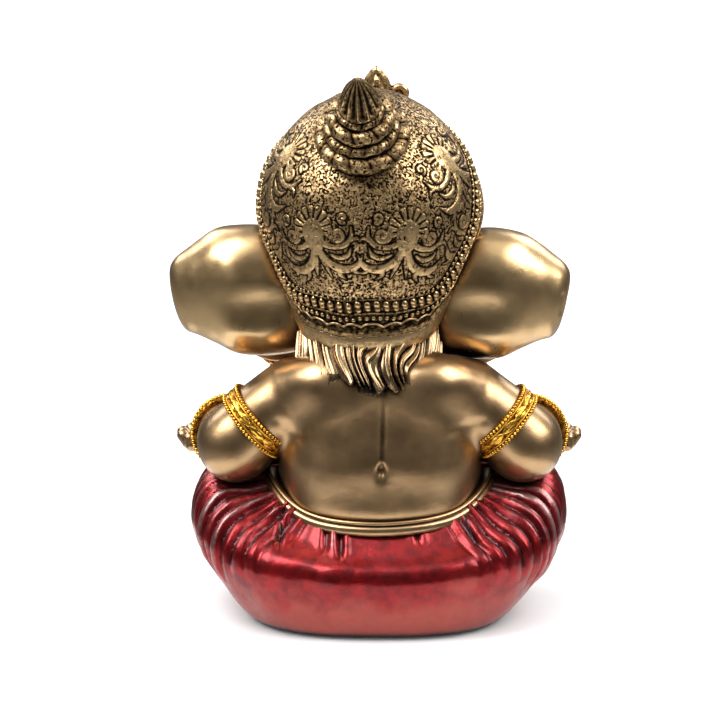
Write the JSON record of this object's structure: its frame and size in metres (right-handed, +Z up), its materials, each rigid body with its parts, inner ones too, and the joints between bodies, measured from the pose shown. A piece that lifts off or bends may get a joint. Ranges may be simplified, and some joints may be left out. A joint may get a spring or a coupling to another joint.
{
  "type": "ganesha idol",
  "caption": "Seated elephant-headed devotional figure in bronze finish with a domed crown, gold bands and a red pleated dhoti, resting on a flat felt pad.",
  "frame": {"origin": "middle of the flat underside of the felt base pad, on the surface the figure rests on", "axes": "+Z up, the figure faces -Y, and the figure's own left side is +X"},
  "size_m": [0.1162, 0.0936, 0.1571],
  "materials": {
    "bronze_skin": "satin champagne-bronze metal-powder coat, brushed soft highlights, darker in the creases",
    "antique_bronze": "antique bronze with rubbed bright relief and near-black patina in the pits",
    "gold_trim": "bright yellow-gold paint with brown wash in the pattern",
    "red_lacquer": "metallic candy red over bronze, glossy, with bronze worn through on the fold ridges",
    "base_felt": "black adhesive felt",
    "dowel_brass": "plain drawn brass rod"
  },
  "bodies": {
    "root": {"neck_dowel": "dowel_brass", "left_arm_dowel": "dowel_brass", "right_arm_dowel": "dowel_brass", "left_ear_dowel": "dowel_brass", "right_ear_dowel": "dowel_brass", "knob_dowel": "dowel_brass", "base_pad": "base_felt", "torso": "bronze_skin", "dhoti": "red_lacquer", "left_arm": "bronze_skin", "right_arm": "bronze_skin", "left_leg": "bronze_skin", "right_leg": "bronze_skin", "left_foot": "bronze_skin", "right_foot": "bronze_skin", "left_hand": "bronze_skin", "right_hand": "bronze_skin", "head": "bronze_skin", "trunk": "bronze_skin", "left_tusk": "bronze_skin", "right_tusk": "bronze_skin", "crown_border": "antique_bronze", "crown_dome": "antique_bronze", "knob_lower_tier": "antique_bronze", "knob_upper_tier": "antique_bronze", "knob_bud": "antique_bronze", "crown_crest": "antique_bronze", "left_ear": "bronze_skin", "right_ear": "bronze_skin", "left_earring": "gold_trim", "right_earring": "gold_trim", "hair": "bronze_skin", "necklace": "gold_trim", "pendant": "gold_trim", "waistband": "bronze_skin", "left_armlet": "gold_trim", "right_armlet": "gold_trim", "left_bracelet": "gold_trim", "right_bracelet": "gold_trim", "left_anklet": "gold_trim", "right_anklet": "gold_trim"}
  },
  "joints": []
}
